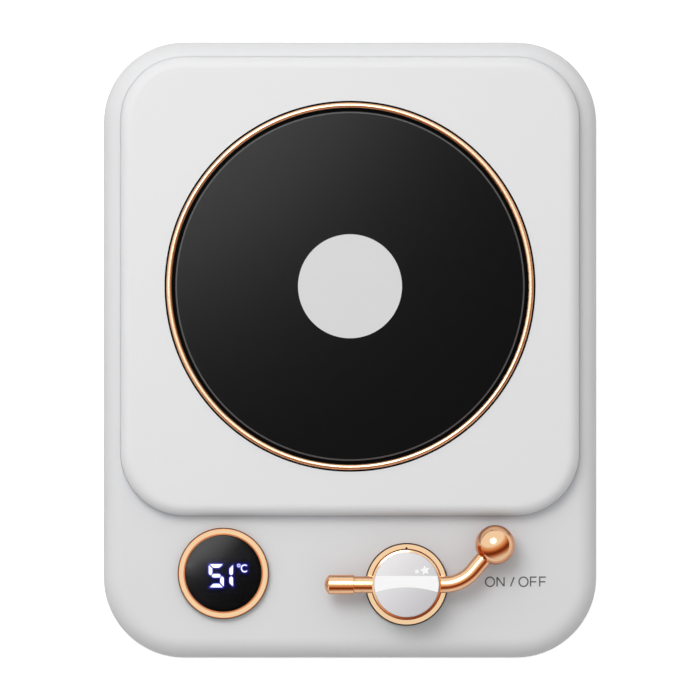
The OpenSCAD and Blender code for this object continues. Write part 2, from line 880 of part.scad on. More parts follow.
module display_retainer() {
  color(steel) translate([display_x, display_y, deck_under - retainer_t])
    ring(barrel_r + fit, barrel_r + retainer_w, retainer_t);
}

// ---- Knob's fixed pieces and the slide switch ----

// The bezel's two locating pegs
module knob_pegs(z, h, gap) {
  peg_at = (knob_r + air + knob_bezel_r) / 2;
  for (side = [-1, 1]) translate([hub.x, hub.y + side * peg_at, z]) cylinder(r = 0.6 + gap, h = h);
}

module knob_bezel() {
  inner = knob_r + air;
  color(copper) difference() {
    union() {
      translate([hub.x, hub.y, deck_z]) rotate_extrude() bezel_section(inner, knob_bezel_r, knob_bezel_h);
      knob_pegs(deck_under + 0.3, deck_t, 0);
    }
    translate([hub.x, hub.y + inner + index_r, deck_z + knob_bezel_h / 2])
      cylinder(r = index_r, h = knob_bezel_h);
  }
}

module spindle_bush() {
  color("goldenrod") translate([hub.x, hub.y, 0]) difference() {
    union() {
      translate([0, 0, deck_z]) cylinder(r = flange_r, h = flange_t);
      translate([0, 0, bush_z]) cylinder(r = bush_r, h = deck_z - bush_z + flange_t / 2);
    }
    translate([0, 0, bush_z - 1]) cylinder(r = spindle_r + run_fit, h = deck_z - bush_z + flange_t + 2);
  }
}

module bush_nut() {
  color("goldenrod") translate([hub.x, hub.y, deck_under - nut_t]) difference() {
    cylinder(r = nut_r, h = nut_t, $fn = 6);
    translate([0, 0, -1]) cylinder(r = bush_r + fit, h = nut_t + 2);
  }
}

module switch_body() {
  color(black) translate([knob_x, switch_y, control_top]) difference() {
    block(switch_w, switch_d, switch_h);
    translate([0, 0, 0.3])
      block(switch_w - 2 * switch_wall, switch_d - 2 * switch_wall, switch_h - switch_top_t - 0.3);
    translate([0, 0, 1]) block(slider_travel + fork_w + 0.6, fork_d + 0.3, switch_h);
  }
}

// Solder pins under the slide switch
module switch_pins() {
  color(steel) for (x = [-3, 0, 3]) translate([knob_x + x, switch_y, control_z - 1.2])
    block(0.8, 0.8, 1.2);
}

module switch_slider() {
  foot_z = control_top + 0.3 + 0.05;
  foot_top = switch_top - switch_top_t - 0.05;
  fork_top = crank_z - air;
  color("dimgray") translate([slider_x, switch_y, 0]) difference() {
    union() {
      translate([0, 0, foot_z]) block(slider_foot_w, slider_foot_d, foot_top - foot_z);
      translate([0, 0, foot_z]) block(fork_w, fork_d, fork_top - foot_z);
    }
    translate([0, 0, switch_top]) block(fork_slot, fork_d + 1, fork_top - switch_top + 1);
  }
}

// ---- Tone arm ----

module knob_cup() {
  color(copper) translate([hub.x, hub.y, 0]) difference() {
    union() {
      translate([0, 0, cap_z]) cylinder(r = knob_r, h = cap_top - cap_z - cap_edge);
      translate([0, 0, cap_top - cap_edge])
        cylinder(r1 = knob_r, r2 = knob_r - cap_edge, h = cap_edge);
    }
    translate([0, 0, inlay_z]) cylinder(r = inlay_r + seam / 2, h = inlay_t + 1);
    translate([0, 0, cap_z - 1]) difference() {
      cylinder(r = knob_r - cap_wall, h = cavity_top - cap_z + 1);
      translate([0, 0, collar_z - cap_z + 1]) cylinder(r = collar_r, h = cavity_top);
    }
    translate([0, 0, cap_z - 1]) d_bar(spindle_r + fit, flat_at + fit, spindle_top - cap_z + 1 + fit);
    for (side = [0, 180]) rotate([0, 0, side]) translate([rod_start - fit, 0, arm_z])
      rotate([0, 90, 0]) cylinder(r = rod_r + fit, h = knob_r);
  }
}

module knob_inlay() {
  color([0.82, 0.82, 0.84]) translate([hub.x, hub.y, inlay_z]) {
    cylinder(r = inlay_r, h = inlay_t - inlay_bevel);
    translate([0, 0, inlay_t - inlay_bevel])
      cylinder(r1 = inlay_r, r2 = inlay_r - inlay_bevel, h = inlay_bevel);
  }
}

// Places its children at the knob's axis, at the height of the arm
module on_arm_axis() {
  translate([hub.x, hub.y, arm_z]) children();
}

// Places its children at the end of the bend, with +X along the arm's tip
module on_arm_tip() {
  on_arm_axis() translate([arm_straight, bend_r, 0]) rotate([0, 0, bend_angle])
    translate([0, -bend_r, 0]) children();
}

// The arm is one bent bar. Its bend is drawn a hair thinner than the straight stretches, which run
// into it by the same amount.
module arm_rod() {
  color(copper) {
    on_arm_axis() {
      translate([rod_start, 0, 0]) rotate([0, 90, 0])
        cylinder(r = rod_r, h = arm_straight - rod_start + bend_relief);
      translate([arm_straight, bend_r, 0]) rotate([0, 0, -90]) rotate_extrude(angle = bend_angle)
        translate([bend_r, 0]) circle(rod_r - bend_relief);
    }
    on_arm_tip() translate([-bend_relief, 0, 0]) rotate([0, 90, 0])
      cylinder(r = rod_r, h = tip_l - ball_seat + bend_relief);
  }
}

module ball_end() {
  color(copper) on_arm_tip() difference() {
    translate([tip_l, 0, 0]) sphere(ball_r);
    translate([tip_l - 2 * ball_r, 0, 0]) rotate([0, 90, 0])
      cylinder(r = rod_r + fit, h = 2 * ball_r - ball_seat + fit);
  }
}

module tail_rod() {
  color(copper) on_arm_axis() rotate([0, -90, 0]) translate([0, 0, rod_start])
    cylinder(r = rod_r, h = weight_at + weight_bore_l - rod_start);
}

module counterweight() {
  bevel = 0.15;
  side_l = weight_l - weight_dome;
  dome_r = (pow(weight_r, 2) + pow(weight_dome, 2)) / (2 * weight_dome);
  color(copper) on_arm_axis() rotate([0, -90, 0]) translate([0, 0, weight_at]) difference() {
    rotate_extrude() {
      polygon([[0, 0], [weight_r - bevel, 0], [weight_r, bevel], [weight_r, side_l], [0, side_l]]);
      intersection() {
        translate([0, side_l - bevel]) square([weight_r, weight_dome + bevel]);
        translate([0, weight_l - dome_r]) circle(dome_r);
      }
    }
    translate([0, 0, -1]) cylinder(r = rod_r + fit, h = weight_bore_l + 1 + fit);
  }
}

module spindle() {
  color(steel) translate([hub.x, hub.y, 0]) difference() {
    union() {
      translate([0, 0, collar_z]) d_bar(spindle_r, flat_at, spindle_top - collar_z);
      translate([0, 0, crank_top]) cylinder(r = spindle_r, h = collar_z - crank_top);
      translate([0, 0, crank_z + 0.2]) cylinder(r = journal_r, h = crank_t);
    }
    translate([0, 0, crank_z]) cylinder(r = crank_screw_r + fit, h = crank_screw_l + 1);
  }
}

module friction_washer() {
  color("goldenrod") translate([hub.x, hub.y, crank_top])
    ring(spindle_r + run_fit, bush_r, crank_gap - run_fit);
}

module crank_disc() {
  color("white") translate([hub.x, hub.y, crank_z]) difference() {
    union() {
      cylinder(r = crank_r, h = crank_t);
      rotate([0, 0, crank_rest]) translate([crank_throw, 0, -crank_pin_l])
        cylinder(r = crank_pin_r, h = crank_pin_l + crank_t / 2);
    }
    translate([0, 0, -1]) cylinder(r = journal_r + fit, h = crank_t + 2);
  }
}

module crank_screw() {
  color(steel) translate([hub.x, hub.y, crank_z])
    screw([crank_screw_r, crank_screw_head_r, crank_screw_head_h], crank_screw_l);
}

deck_shell();
platform_cover();
bottom_cover();
rubber_feet();
case_screws();
platform_screws();
trim_ring();
plate_gasket();
glass_plate();
centre_label();
heat_spreader();
heating_film();
insulation_pad();
clamp_bracket();
clamp_screws();
temperature_sensor();
sensor_leads();
thermal_fuse();
heater_leads();
power_board();
power_board_screws();
dc_jack();
jack_contacts();
capacitors();
inductor();
heater_transistor();
wire_sockets();
ribbon_sockets();
ribbon_cable();
control_board();
control_board_screws();
microcontroller();
display_spacer();
digit_module();
display_lens();
display_bezel();
display_retainer();
knob_bezel();
spindle_bush();
bush_nut();
switch_body();
switch_pins();
knob_cup();
knob_inlay();
arm_rod();
ball_end();
tail_rod();
counterweight();
spindle();
friction_washer();
crank_disc();
crank_screw();
switch_slider();
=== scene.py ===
"""Looks of the electric mug warmer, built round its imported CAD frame.

Lengths are metres, and a size written in millimetres is multiplied by MM. The camera looks straight
down, as the photograph does, with the front of the object at the bottom of the frame.
"""

import math

import bmesh
import bpy
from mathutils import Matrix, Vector


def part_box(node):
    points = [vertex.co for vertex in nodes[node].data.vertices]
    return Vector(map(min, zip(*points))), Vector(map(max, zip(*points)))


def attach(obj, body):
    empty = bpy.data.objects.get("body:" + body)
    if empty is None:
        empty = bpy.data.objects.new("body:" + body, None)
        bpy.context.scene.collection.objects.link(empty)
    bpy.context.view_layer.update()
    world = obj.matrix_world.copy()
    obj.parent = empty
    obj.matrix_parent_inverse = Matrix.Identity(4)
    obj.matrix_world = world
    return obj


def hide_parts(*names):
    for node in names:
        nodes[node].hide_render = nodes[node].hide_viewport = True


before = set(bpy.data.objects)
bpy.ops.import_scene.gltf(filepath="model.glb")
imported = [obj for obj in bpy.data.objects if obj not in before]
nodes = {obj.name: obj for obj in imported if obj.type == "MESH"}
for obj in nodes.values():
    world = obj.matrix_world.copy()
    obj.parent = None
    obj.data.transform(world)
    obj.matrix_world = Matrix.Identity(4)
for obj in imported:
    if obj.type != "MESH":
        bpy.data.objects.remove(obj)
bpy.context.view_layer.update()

MM = 0.001


def middle_of(node):
    """Centre of a CAD node's box."""
    low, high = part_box(node)
    return (low + high) / 2


# ---- Colours and finishes ----


def srgb(red, green, blue):
    """Linear RGBA of a display colour given as 0 to 255."""
    shares = [value / 255 for value in (red, green, blue)]
    linear = [s / 12.92 if s <= 0.04045 else ((s + 0.055) / 1.055) ** 2.4 for s in shares]
    return (*linear, 1.0)


def scaled(colour, factor):
    """The colour made lighter or darker, with alpha kept."""
    return (*(min(1.0, channel * factor) for channel in colour[:3]), 1.0)


class Shading:
    """Adds nodes to the tree of a material or a world."""

    def __init__(self, owner):
        owner.use_nodes = True
        self.tree = owner.node_tree
        self.tree.nodes.clear()

    def node(self, kind, **settings):
        """A new node of that kind, with its settings."""
        made = self.tree.nodes.new(kind)
        for key, value in settings.items():
            setattr(made, key, value)
        return made

    def link(self, source, target):
        self.tree.links.new(source, target)

    def maths(self, operation, *values):
        """A Math node on sockets and numbers."""
        made = self.node("ShaderNodeMath", operation=operation)
        for i, value in enumerate(values):
            if isinstance(value, (int, float)):
                made.inputs[i].default_value = value
            else:
                self.link(value, made.inputs[i])
        return made.outputs[0]

    def along(self, direction, coordinates):
        """How far the chosen texture coordinates reach along a direction."""
        where = self.node("ShaderNodeTexCoord")
        dot = self.node("ShaderNodeVectorMath", operation="DOT_PRODUCT")
        dot.inputs[1].default_value = direction
        self.link(where.outputs[coordinates], dot.inputs[0])
        return dot.outputs["Value"]

    def span(self, value, low, high, between="LINEAR"):
        """0 at low, 1 at high, straight or smooth between."""
        made = self.node("ShaderNodeMapRange", interpolation_type=between)
        made.inputs["From Min"].default_value = low
        made.inputs["From Max"].default_value = high
        self.link(value, made.inputs["Value"])
        return made.outputs["Result"]

    def ramp(self, fac, stops):
        """Colours at places from 0 to 1, blended between."""
        made = self.node("ShaderNodeValToRGB")
        first, last = made.color_ramp.elements
        first.position, first.color = stops[0]
        last.position, last.color = stops[-1]
        for position, colour in stops[1:-1]:
            made.color_ramp.elements.new(position).color = colour
        self.link(fac, made.inputs["Fac"])
        return made.outputs["Color"]

    def background(self, colour=(1, 1, 1, 1)):
        """Even light of one colour, for a world."""
        made = self.node("ShaderNodeBackground")
        made.inputs["Color"].default_value = colour
        return made

    def blend(self, fac, first, second):
        """The first shader where fac is 0, and the second where it is 1."""
        made = self.node("ShaderNodeMixShader")
        self.link(fac, made.inputs[0])
        self.link(first.outputs[0], made.inputs[1])
        self.link(second.outputs[0], made.inputs[2])
        return made


# Inputs and output of a Mix node that mixes colours
MIX_FACTOR = 0
MIX_FIRST = 6
MIX_SECOND = 7
MIX_RESULT = 2

# At this scale a wave texture repeats about 1.6 times in one unit
WAVE_SCALE = 0.5
WAVES_PER_UNIT = 1.6

LEAST_ROUGHNESS = 0.02


class Finish(Shading):
    """A Principled material under one name, with procedural detail at real scale."""

    def __init__(self, name, colour, roughness, **sockets):
        self.material = bpy.data.materials.get(name) or bpy.data.materials.new(name)
        super().__init__(self.material)
        self.shader = self.node("ShaderNodeBsdfPrincipled")
        output = self.node("ShaderNodeOutputMaterial")
        self.link(self.shader.outputs["BSDF"], output.inputs["Surface"])
        self.colour = colour
        self.roughness = roughness
        self.colour_socket = None
        self.normal_socket = None
        self.set("Base Color", colour)
        self.set("Roughness", roughness)
        for socket, value in sockets.items():
            self.set(socket.replace("_", " "), value)

    def set(self, socket, value):
        self.shader.inputs[socket].default_value = value

    def place(self, size, stretch=(1, 1, 1), origin=(0, 0, 0)):
        """Object coordinates in units of size, each axis divided by its stretch."""
        where = self.node("ShaderNodeTexCoord")
        mapping = self.node("ShaderNodeMapping", vector_type="POINT")
        mapping.inputs["Scale"].default_value = [1 / (size * s) for s in stretch]
        mapping.inputs["Location"].default_value = [-o / (size * s) for o, s in zip(origin, stretch)]
        self.link(where.outputs["Object"], mapping.inputs["Vector"])
        return mapping.outputs["Vector"]

    def noise(self, size, detail=2.0, stretch=(1, 1, 1)):
        """Soft random pattern whose lumps are about size across."""
        made = self.node("ShaderNodeTexNoise")
        made.inputs["Scale"].default_value = 1.0
        made.inputs["Detail"].default_value = detail
        self.link(self.place(size, stretch), made.inputs["Vector"])
        return made.outputs["Fac"]

    def stripes(self, pitch, rings=False, origin=(0, 0, 0)):
        """Even stripes, or rings about the vertical axis through origin."""
        made = self.node("ShaderNodeTexWave", wave_type="RINGS" if rings else "BANDS")
        if rings:
            made.rings_direction = "Z"
        made.inputs["Scale"].default_value = WAVE_SCALE
        made.inputs["Detail"].default_value = 0.0
        self.link(self.place(pitch * WAVES_PER_UNIT, origin=origin), made.inputs["Vector"])
        return made.outputs["Fac"]

    def mix_colour(self, fac, other):
        """Turns the base colour to another one where fac is 1."""
        made = self.node("ShaderNodeMix", data_type="RGBA")
        made.inputs[MIX_FIRST].default_value = self.colour
        made.inputs[MIX_SECOND].default_value = other
        if self.colour_socket:
            self.link(self.colour_socket, made.inputs[MIX_FIRST])
        self.link(fac, made.inputs[MIX_FACTOR])
        self.colour_socket = made.outputs[MIX_RESULT]
        self.link(self.colour_socket, self.shader.inputs["Base Color"])
        return self

    def mottle(self, fac, amount):
        """Makes the colour a little lighter and darker by fac."""
        self.colour = scaled(self.colour, 1 - amount)
        return self.mix_colour(fac, scaled(self.colour, (1 + amount) / (1 - amount)))

    def vary_roughness(self, fac, amount):
        """Makes the surface a little glossier and duller by fac."""
        made = self.node("ShaderNodeMapRange")
        made.inputs["To Min"].default_value = max(LEAST_ROUGHNESS, self.roughness - amount)
        made.inputs["To Max"].default_value = self.roughness + amount
        self.link(fac, made.inputs["Value"])
        self.link(made.outputs["Result"], self.shader.inputs["Roughness"])
        return self

    def bump(self, fac, height):
        """Raises the surface by height where fac is 1."""
        made = self.node("ShaderNodeBump")
        made.inputs["Distance"].default_value = height
        self.link(fac, made.inputs["Height"])
        if self.normal_socket:
            self.link(self.normal_socket, made.inputs["Normal"])
        self.normal_socket = made.outputs["Normal"]
        self.link(self.normal_socket, self.shader.inputs["Normal"])
        return self


def moulded(name, colour, roughness, grain, height, **sockets):
    """Injection-moulded plastic or rubber, with a grain of that size and height, and a faint flow mottle."""
    made = Finish(name, colour, roughness, **sockets)
    grains = made.noise(grain, 3.0)
    flow = made.noise(25 * MM, 2.0)
    made.mottle(flow, 0.012)
    made.vary_roughness(grains, 0.06)
    made.bump(grains, height)
    return made


def brushed(name, colour, roughness, streak, stretch, height):
    """Bare or plated metal with fine drawn streaks of that width, stretch and height."""
    made = Finish(name, colour, roughness, Metallic=1.0)
    streaks = made.noise(streak, 2.0, stretch)
    made.mottle(made.noise(4 * MM, 3.0), 0.04)
    made.vary_roughness(streaks, 0.08)
    made.bump(streaks, height)
    return made


def polished(name, colour, roughness):
    """Buffed plated metal: nearly a mirror, with a slow change of gloss and hair-fine marks."""
    made = Finish(name, colour, roughness, Metallic=1.0)
    made.mottle(made.noise(6 * MM, 2.0), 0.02)
    made.vary_roughness(made.noise(2 * MM, 4.0), 0.03)
    made.bump(made.noise(0.4 * MM, 2.0, (1, 6, 1)), 0.15e-6)
    return made


def copper_trim():
    """Lacquered copper, with painted shade that turns it a darker red down its sides."""
    top_facing, side_facing = 0.7, 0.25
    made = polished("copper_trim", (0.9, 0.59, 0.35, 1.0), 0.12)
    # painted shade: surfaces that face sideways turn a darker red, standing for the dark reflections at the
    # rims
    sides = made.span(made.along((0, 0, 1), "Normal"), top_facing, side_facing)
    made.mix_colour(sides, (0.78, 0.27, 0.1, 1.0))
    return made


def casing_plastic():
    """Fine-grained pale plastic, with the deck a shade greyer than the platform that stands on it."""
    made = moulded("casing_plastic", srgb(221, 221, 222), 0.5, 0.18 * MM, 2e-6, Specular_IOR_Level=0.2)
    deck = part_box("deck_shell")[1].z
    platform = made.span(made.along((0, 0, 1), "Object"), deck + 0.02 * MM, deck + 0.05 * MM)
    made.mix_colour(platform, srgb(226, 226, 227))
    return made


def base_plastic():
    return moulded("base_plastic", srgb(208, 208, 210), 0.6, 0.35 * MM, 12e-6)


def black_glass():
    """Screen-printed toughened glass: satin black with very fine glints."""
    made = Finish("black_glass", srgb(4, 4, 5), 0.25, Specular_IOR_Level=0.05)
    made.vary_roughness(made.noise(3 * MM, 3.0), 0.02)
    made.bump(made.noise(0.15 * MM, 2.0), 0.6e-6)
    return made


def label_film():
    return moulded("label_film", srgb(211, 211, 212), 0.55, 0.12 * MM, 1.5e-6)


def smoked_lens():
    """Tinted clear cover over the digits."""
    made = Finish("smoked_lens", (0.3, 0.3, 0.31, 1.0), 0.17, Transmission_Weight=1.0, IOR=1.05)
    made.bump(made.noise(2 * MM, 2.0), 0.3e-6)
    return made


def pearl_inlay():
    """Pearl lacquer with a painted shade that darkens it slowly across the disc, towards the lower right."""
    made = Finish("pearl_inlay", srgb(226, 226, 228), 0.4, Metallic=0.2)
    low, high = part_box("knob_inlay")
    slope = Vector((1, -1, 0)).normalized()
    centre = slope.dot(middle_of("knob_inlay"))
    reach = 0.45 * (high.x - low.x)
    # painted shade: a fade from the upper left to a darker grey at the lower right
    shade = made.span(made.along(slope, "Object"), centre - reach, centre + reach)
    made.mix_colour(shade, srgb(188, 188, 192))
    made.bump(made.noise(0.25 * MM, 3.0), 1e-6)
    made.vary_roughness(made.noise(0.2 * MM, 2.0), 0.05)
    return made


def circuit_board():
    """Green solder mask over tracks, with the tracks just lighter and raised."""
    made = Finish("circuit_board", srgb(22, 92, 52), 0.35, Coat_Weight=0.4, Coat_Roughness=0.15)
    tracks = made.span(made.stripes(1.3 * MM), 0.55, 0.7, "SMOOTHSTEP")
    made.mix_colour(tracks, srgb(40, 122, 70))
    made.bump(tracks, 20e-6)
    return made


def amber_film():
    """Etched heating track between two amber films."""
    made = Finish("amber_film", srgb(176, 106, 32), 0.3, Coat_Weight=0.5, Coat_Roughness=0.1)
    rings = made.stripes(2.4 * MM, rings=True, origin=middle_of("heating_film"))
    track = made.span(rings, 0.45, 0.6, "SMOOTHSTEP")
    made.mix_colour(track, srgb(96, 74, 50))
    made.bump(track, 25e-6)
    return made


def insulation_felt():
    made = Finish("insulation_felt", srgb(226, 222, 210), 0.95, Sheen_Weight=0.3)
    fibres = made.noise(0.5 * MM, 6.0, (1, 5, 1))
    made.mottle(fibres, 0.12)
    made.bump(fibres, 150e-6)
    return made


def make_finishes():
    """Every finish by the name of its slot in the record."""
    made = [
        casing_plastic(), base_plastic(), black_glass(), label_film(), copper_trim(), smoked_lens(),
        pearl_inlay(), circuit_board(), amber_film(), insulation_felt(),
        moulded("foot_rubber", srgb(58, 58, 59), 0.78, 0.25 * MM, 10e-6),
        moulded("black_rubber", srgb(6, 6, 6), 0.9, 0.25 * MM, 6e-6, Specular_IOR_Level=0.05),
        brushed("zinc_steel", srgb(198, 200, 204), 0.34, 0.15 * MM, (1, 1, 5), 2e-6),
        brushed("spindle_steel", srgb(186, 186, 190), 0.24, 0.1 * MM, (8, 8, 1), 2e-6),
        brushed("aluminium_plate", srgb(204, 206, 208), 0.36, 0.2 * MM, (1, 12, 1), 4e-6),
        brushed("tinned_metal", srgb(206, 204, 198), 0.4, 0.3 * MM, (1, 1, 1), 6e-6),
        brushed("bearing_brass", srgb(212, 175, 96), 0.28, 0.12 * MM, (8, 8, 1), 2e-6),
        moulded("ceramic_white", srgb(232, 230, 224), 0.4, 0.2 * MM, 6e-6),
        moulded("white_insulation", srgb(228, 228, 226), 0.5, 0.4 * MM, 10e-6),
        moulded("red_insulation", srgb(178, 34, 30), 0.45, 0.4 * MM, 10e-6),
        moulded("grey_insulation", srgb(150, 151, 154), 0.5, 0.4 * MM, 10e-6),
        moulded("black_plastic", srgb(24, 24, 25), 0.48, 0.2 * MM, 6e-6),
        moulded("capacitor_sleeve", srgb(22, 40, 86), 0.32, 0.5 * MM, 4e-6),
        moulded("ferrite", srgb(52, 51, 54), 0.7, 0.12 * MM, 14e-6),
        moulded("connector_plastic", srgb(236, 232, 214), 0.45, 0.25 * MM, 5e-6),
        moulded("acetal_white", srgb(236, 236, 232), 0.42, 0.25 * MM, 4e-6),
        moulded("acetal_black", srgb(30, 30, 31), 0.42, 0.25 * MM, 4e-6),
    ]
    return {finish.material.name: finish for finish in made}


finishes = make_finishes()


# ---- Mesh helpers ----

SHARP_ANGLE = math.radians(32)


def add_piece(name, bm, body, material, replaced=()):
    """Makes the bmesh a piece with smooth faces and sharp edges, and hands it to the frame."""
    bmesh.ops.recalc_face_normals(bm, faces=bm.faces)
    for face in bm.faces:
        face.smooth = True
    for edge in bm.edges:
        edge.smooth = len(edge.link_faces) == 2 and edge.calc_face_angle() < SHARP_ANGLE
    mesh = bpy.data.meshes.new(name)
    bm.to_mesh(mesh)
    bm.free()
    mesh.materials.append(material)
    piece = bpy.data.objects.new(name, mesh)
    bpy.context.scene.collection.objects.link(piece)
    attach(piece, body)
    if replaced:
        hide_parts(*replaced)
    return piece


def arc(centre, radius, start, end, steps):
    """Points along an arc, with the angles in degrees."""
    angles = [math.radians(start + (end - start) * i / steps) for i in range(steps + 1)]
    return [(centre[0] + radius * math.cos(a), centre[1] + radius * math.sin(a)) for a in angles]


def circle(count):
    """Points evenly round a circle of radius 1."""
    return arc((0, 0), 1, 0, 360 - 360 / count, count - 1)


def stretched(points, across, along):
    """The points spread out from the origin."""
    return [(across * x, along * y) for x, y in points]


def shifted(points, right, up):
    """The points moved together."""
    return [(right + x, up + y) for x, y in points]


def add_prism(bm, outline, low, high):
    """A flat piece with that outline between two heights."""
    bottom = [bm.verts.new((x, y, low)) for x, y in outline]
    top = [bm.verts.new((x, y, high)) for x, y in outline]
    bm.faces.new(top)
    bm.faces.new(bottom[::-1])
    for i in range(len(outline)):
        j = (i + 1) % len(outline)
        bm.faces.new((bottom[i], bottom[j], top[j], top[i]))


def add_lathe(bm, profile, centre, steps=192):
    """Turns a closed profile of (radius, height) points about the vertical axis through centre."""
    turns = [2 * math.pi * i / steps for i in range(steps)]
    rings = []
    for radius, height in profile:
        if radius == 0:
            rings.append([bm.verts.new((centre[0], centre[1], height))] * steps)
            continue
        rings.append([
            bm.verts.new((centre[0] + radius * math.cos(a), centre[1] + radius * math.sin(a), height))
            for a in turns
        ])
    for inner, outer in zip(rings, rings[1:] + rings[:1]):
        for i in range(steps):
            j = (i + 1) % steps
            corners = list(dict.fromkeys((inner[i], outer[i], outer[j], inner[j])))
            if len(corners) > 2:
                bm.faces.new(corners)


def add_disc(bm, radius, low, high, centre, steps=192):
    """A flat round piece between two heights."""
    add_lathe(bm, [(0, low), (radius, low), (radius, high), (0, high)], centre, steps)


def stroke_outlines(points, width, closed=False):
    """A pen stroke of even width along points, mitred at its corners, as one quad for each leg."""
    count = len(points)
    legs = [(points[i], points[(i + 1) % count]) for i in range(count if closed else count - 1)]
    normals = [(Vector(b) - Vector(a)).normalized().orthogonal() for a, b in legs]
    offsets = []
    for i in range(count):
        before = normals[(i - 1) % len(normals)] if closed or i > 0 else normals[0]
        after = normals[i % len(normals)] if closed or i < count - 1 else normals[-1]
        middle = (before + after).normalized()
        offsets.append(middle * (width / 2) / middle.dot(after))
    quads = []
    for i in range(len(legs)):
        j = (i + 1) % count
        a, b = Vector(points[i]), Vector(points[j])
        quads.append([a + offsets[i], b + offsets[j], b - offsets[j], a - offsets[i]])
    return [[(p.x, p.y) for p in quad] for quad in quads]


def round_size(node):
    """Centre, least radius and greatest radius of a round CAD node."""
    centre = middle_of(node)
    radii = [math.hypot(v.co.x - centre.x, v.co.y - centre.y) for v in nodes[node].data.vertices]
    return centre, min(radii), max(radii)


# ---- Words beside the arm ----

# How far print reaches into and out of the surface it is on
PRINT_SKIN = 0.02 * MM


def letter_strokes(letter, width, height):
    """The pen strokes of one letter in its cell, as (points, closed) pairs."""
    if letter == "O":
        oval = stretched(circle(48), width / 2, height / 2)
        return [(shifted(oval, width / 2, height / 2), True)]
    if letter == "N":
        trim = 0.05
        diagonal = [(width * trim, height * (1 - trim)), (width * (1 - trim), height * trim)]
        return [([(0, 0), (0, height)], False), (diagonal, False), ([(width, 0), (width, height)], False)]
    if letter == "/":
        return [([(0, 0), (width, height)], False)]
    stem_and_top = [(0, 0), (0, height), (width, height)]
    middle_bar = [(0, height * 0.5), (width * 0.93, height * 0.5)]
    return [(stem_and_top, False), (middle_bar, False)]


def on_off_print():
    """ON / OFF printed on the deck."""
    height = 2.45 * MM
    pen = 0.37 * MM
    left = 35.75 * MM
    base = -62.35 * MM
    widths = {"O": 2.35 * MM, "N": 1.85 * MM, "/": 0.95 * MM, "F": 1.6 * MM}
    gaps = {"O": 0.68 * MM, "N": 1.7 * MM, "/": 1.3 * MM, "F": 0.82 * MM}
    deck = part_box("deck_shell")[1].z
    bm = bmesh.new()
    for letter in "ON/OFF":
        for points, closed in letter_strokes(letter, widths[letter], height):
            for outline in stroke_outlines(shifted(points, left, base), pen, closed):
                add_prism(bm, outline, deck - PRINT_SKIN, deck + PRINT_SKIN)
        left += widths[letter] + gaps[letter]
    ink = Finish("grey_ink", srgb(92, 92, 94), 0.6)
    ink.vary_roughness(ink.noise(0.1 * MM), 0.08)
    ink.mottle(ink.noise(0.3 * MM), 0.05)
    add_piece("on_off_print", bm, "housing", ink.material)


# ---- Display ----

# Two seven-bar digits, placed from the display's centre
DIGIT_HEIGHT = 6.1 * MM
DIGIT_WIDTH = 3.95 * MM
BAR = 0.92 * MM
BAR_GAP = 0.26 * MM
LIT_BARS = {"5": "afgcd", "1": "bc"}
DIGIT_BASE = -3.68 * MM
DIGIT_LEFTS = {"5": -3.85 * MM, "1": -1.42 * MM}

# The degree ring, and the letter C, whose mouth reaches that many degrees up and down
DEGREE_CENTRE = (4.06 * MM, 2.04 * MM)
DEGREE_RADIUS = 0.36 * MM
DEGREE_PEN = 0.15 * MM
C_CENTRE = (5.62 * MM, 1.32 * MM)
C_HALF_WIDTH = 0.86 * MM
C_HALF_HEIGHT = 0.9 * MM
C_MOUTH = 48
C_PEN = 0.26 * MM

# Heights of the layers above the floor of the CAD lens
MASK_LOW, MASK_HIGH = 0.004 * MM, 0.02 * MM
GLOW_AT = 0.03 * MM
DIGITS_LOW, DIGITS_HIGH = 0.035 * MM, 0.06 * MM
WINDOW_LOW = 0.09 * MM


def bar_outlines():
    """The seven bars of a digit, lettered from the top clockwise, with g across the middle."""
    w, h, t, g = DIGIT_WIDTH, DIGIT_HEIGHT, BAR, BAR_GAP
    middle = h / 2
    top = [(g, h), (w - g, h), (w - g - t, h - t), (g + t, h - t)]
    foot = middle + g / 2
    upper_left = [(0, h - g), (t, h - g - t), (t, foot + t / 2), (t / 2, foot), (0, foot + t / 2)]
    across = [(t / 2 + g, middle), (t + g, middle + t / 2), (w - t - g, middle + t / 2),
              (w - t / 2 - g, middle), (w - t - g, middle - t / 2), (t + g, middle - t / 2)]
    flip_x = [(w - x, y) for x, y in upper_left]
    return {
        "a": top, "b": flip_x, "c": [(x, h - y) for x, y in flip_x], "d": [(x, h - y) for x, y in top],
        "e": [(x, h - y) for x, y in upper_left], "f": upper_left, "g": across,
    }


def degree_and_c():
    """The small degree ring and the letter C, as outlines."""
    ring = shifted(stretched(circle(24), DEGREE_RADIUS, DEGREE_RADIUS), *DEGREE_CENTRE)
    letter = stretched(arc((0, 0), 1, C_MOUTH, 360 - C_MOUTH, 22), C_HALF_WIDTH, C_HALF_HEIGHT)
    return stroke_outlines(ring, DEGREE_PEN, True) + stroke_outlines(shifted(letter, *C_CENTRE), C_PEN)


def lit_outlines():
    """Every lit shape of the display, about the display's centre."""
    bars = bar_outlines()
    shapes = degree_and_c()
    for digit, lit in LIT_BARS.items():
        shapes += [shifted(bars[bar], DIGIT_LEFTS[digit], DIGIT_BASE) for bar in lit]
    return shapes


def distance_to_outline(point, outline):
    """Distance from a point to a convex outline, 0 inside it."""
    nearest = math.inf
    sides = set()
    for a, b in zip(outline, outline[1:] + outline[:1]):
        start, leg = Vector(a), Vector(b) - Vector(a)
        offset = point - start
        sides.add(leg.cross(offset) > 0)
        share = min(1.0, max(0.0, offset.dot(leg) / leg.length_squared))
        nearest = min(nearest, (offset - leg * share).length)
    return 0.0 if len(sides) == 1 else nearest


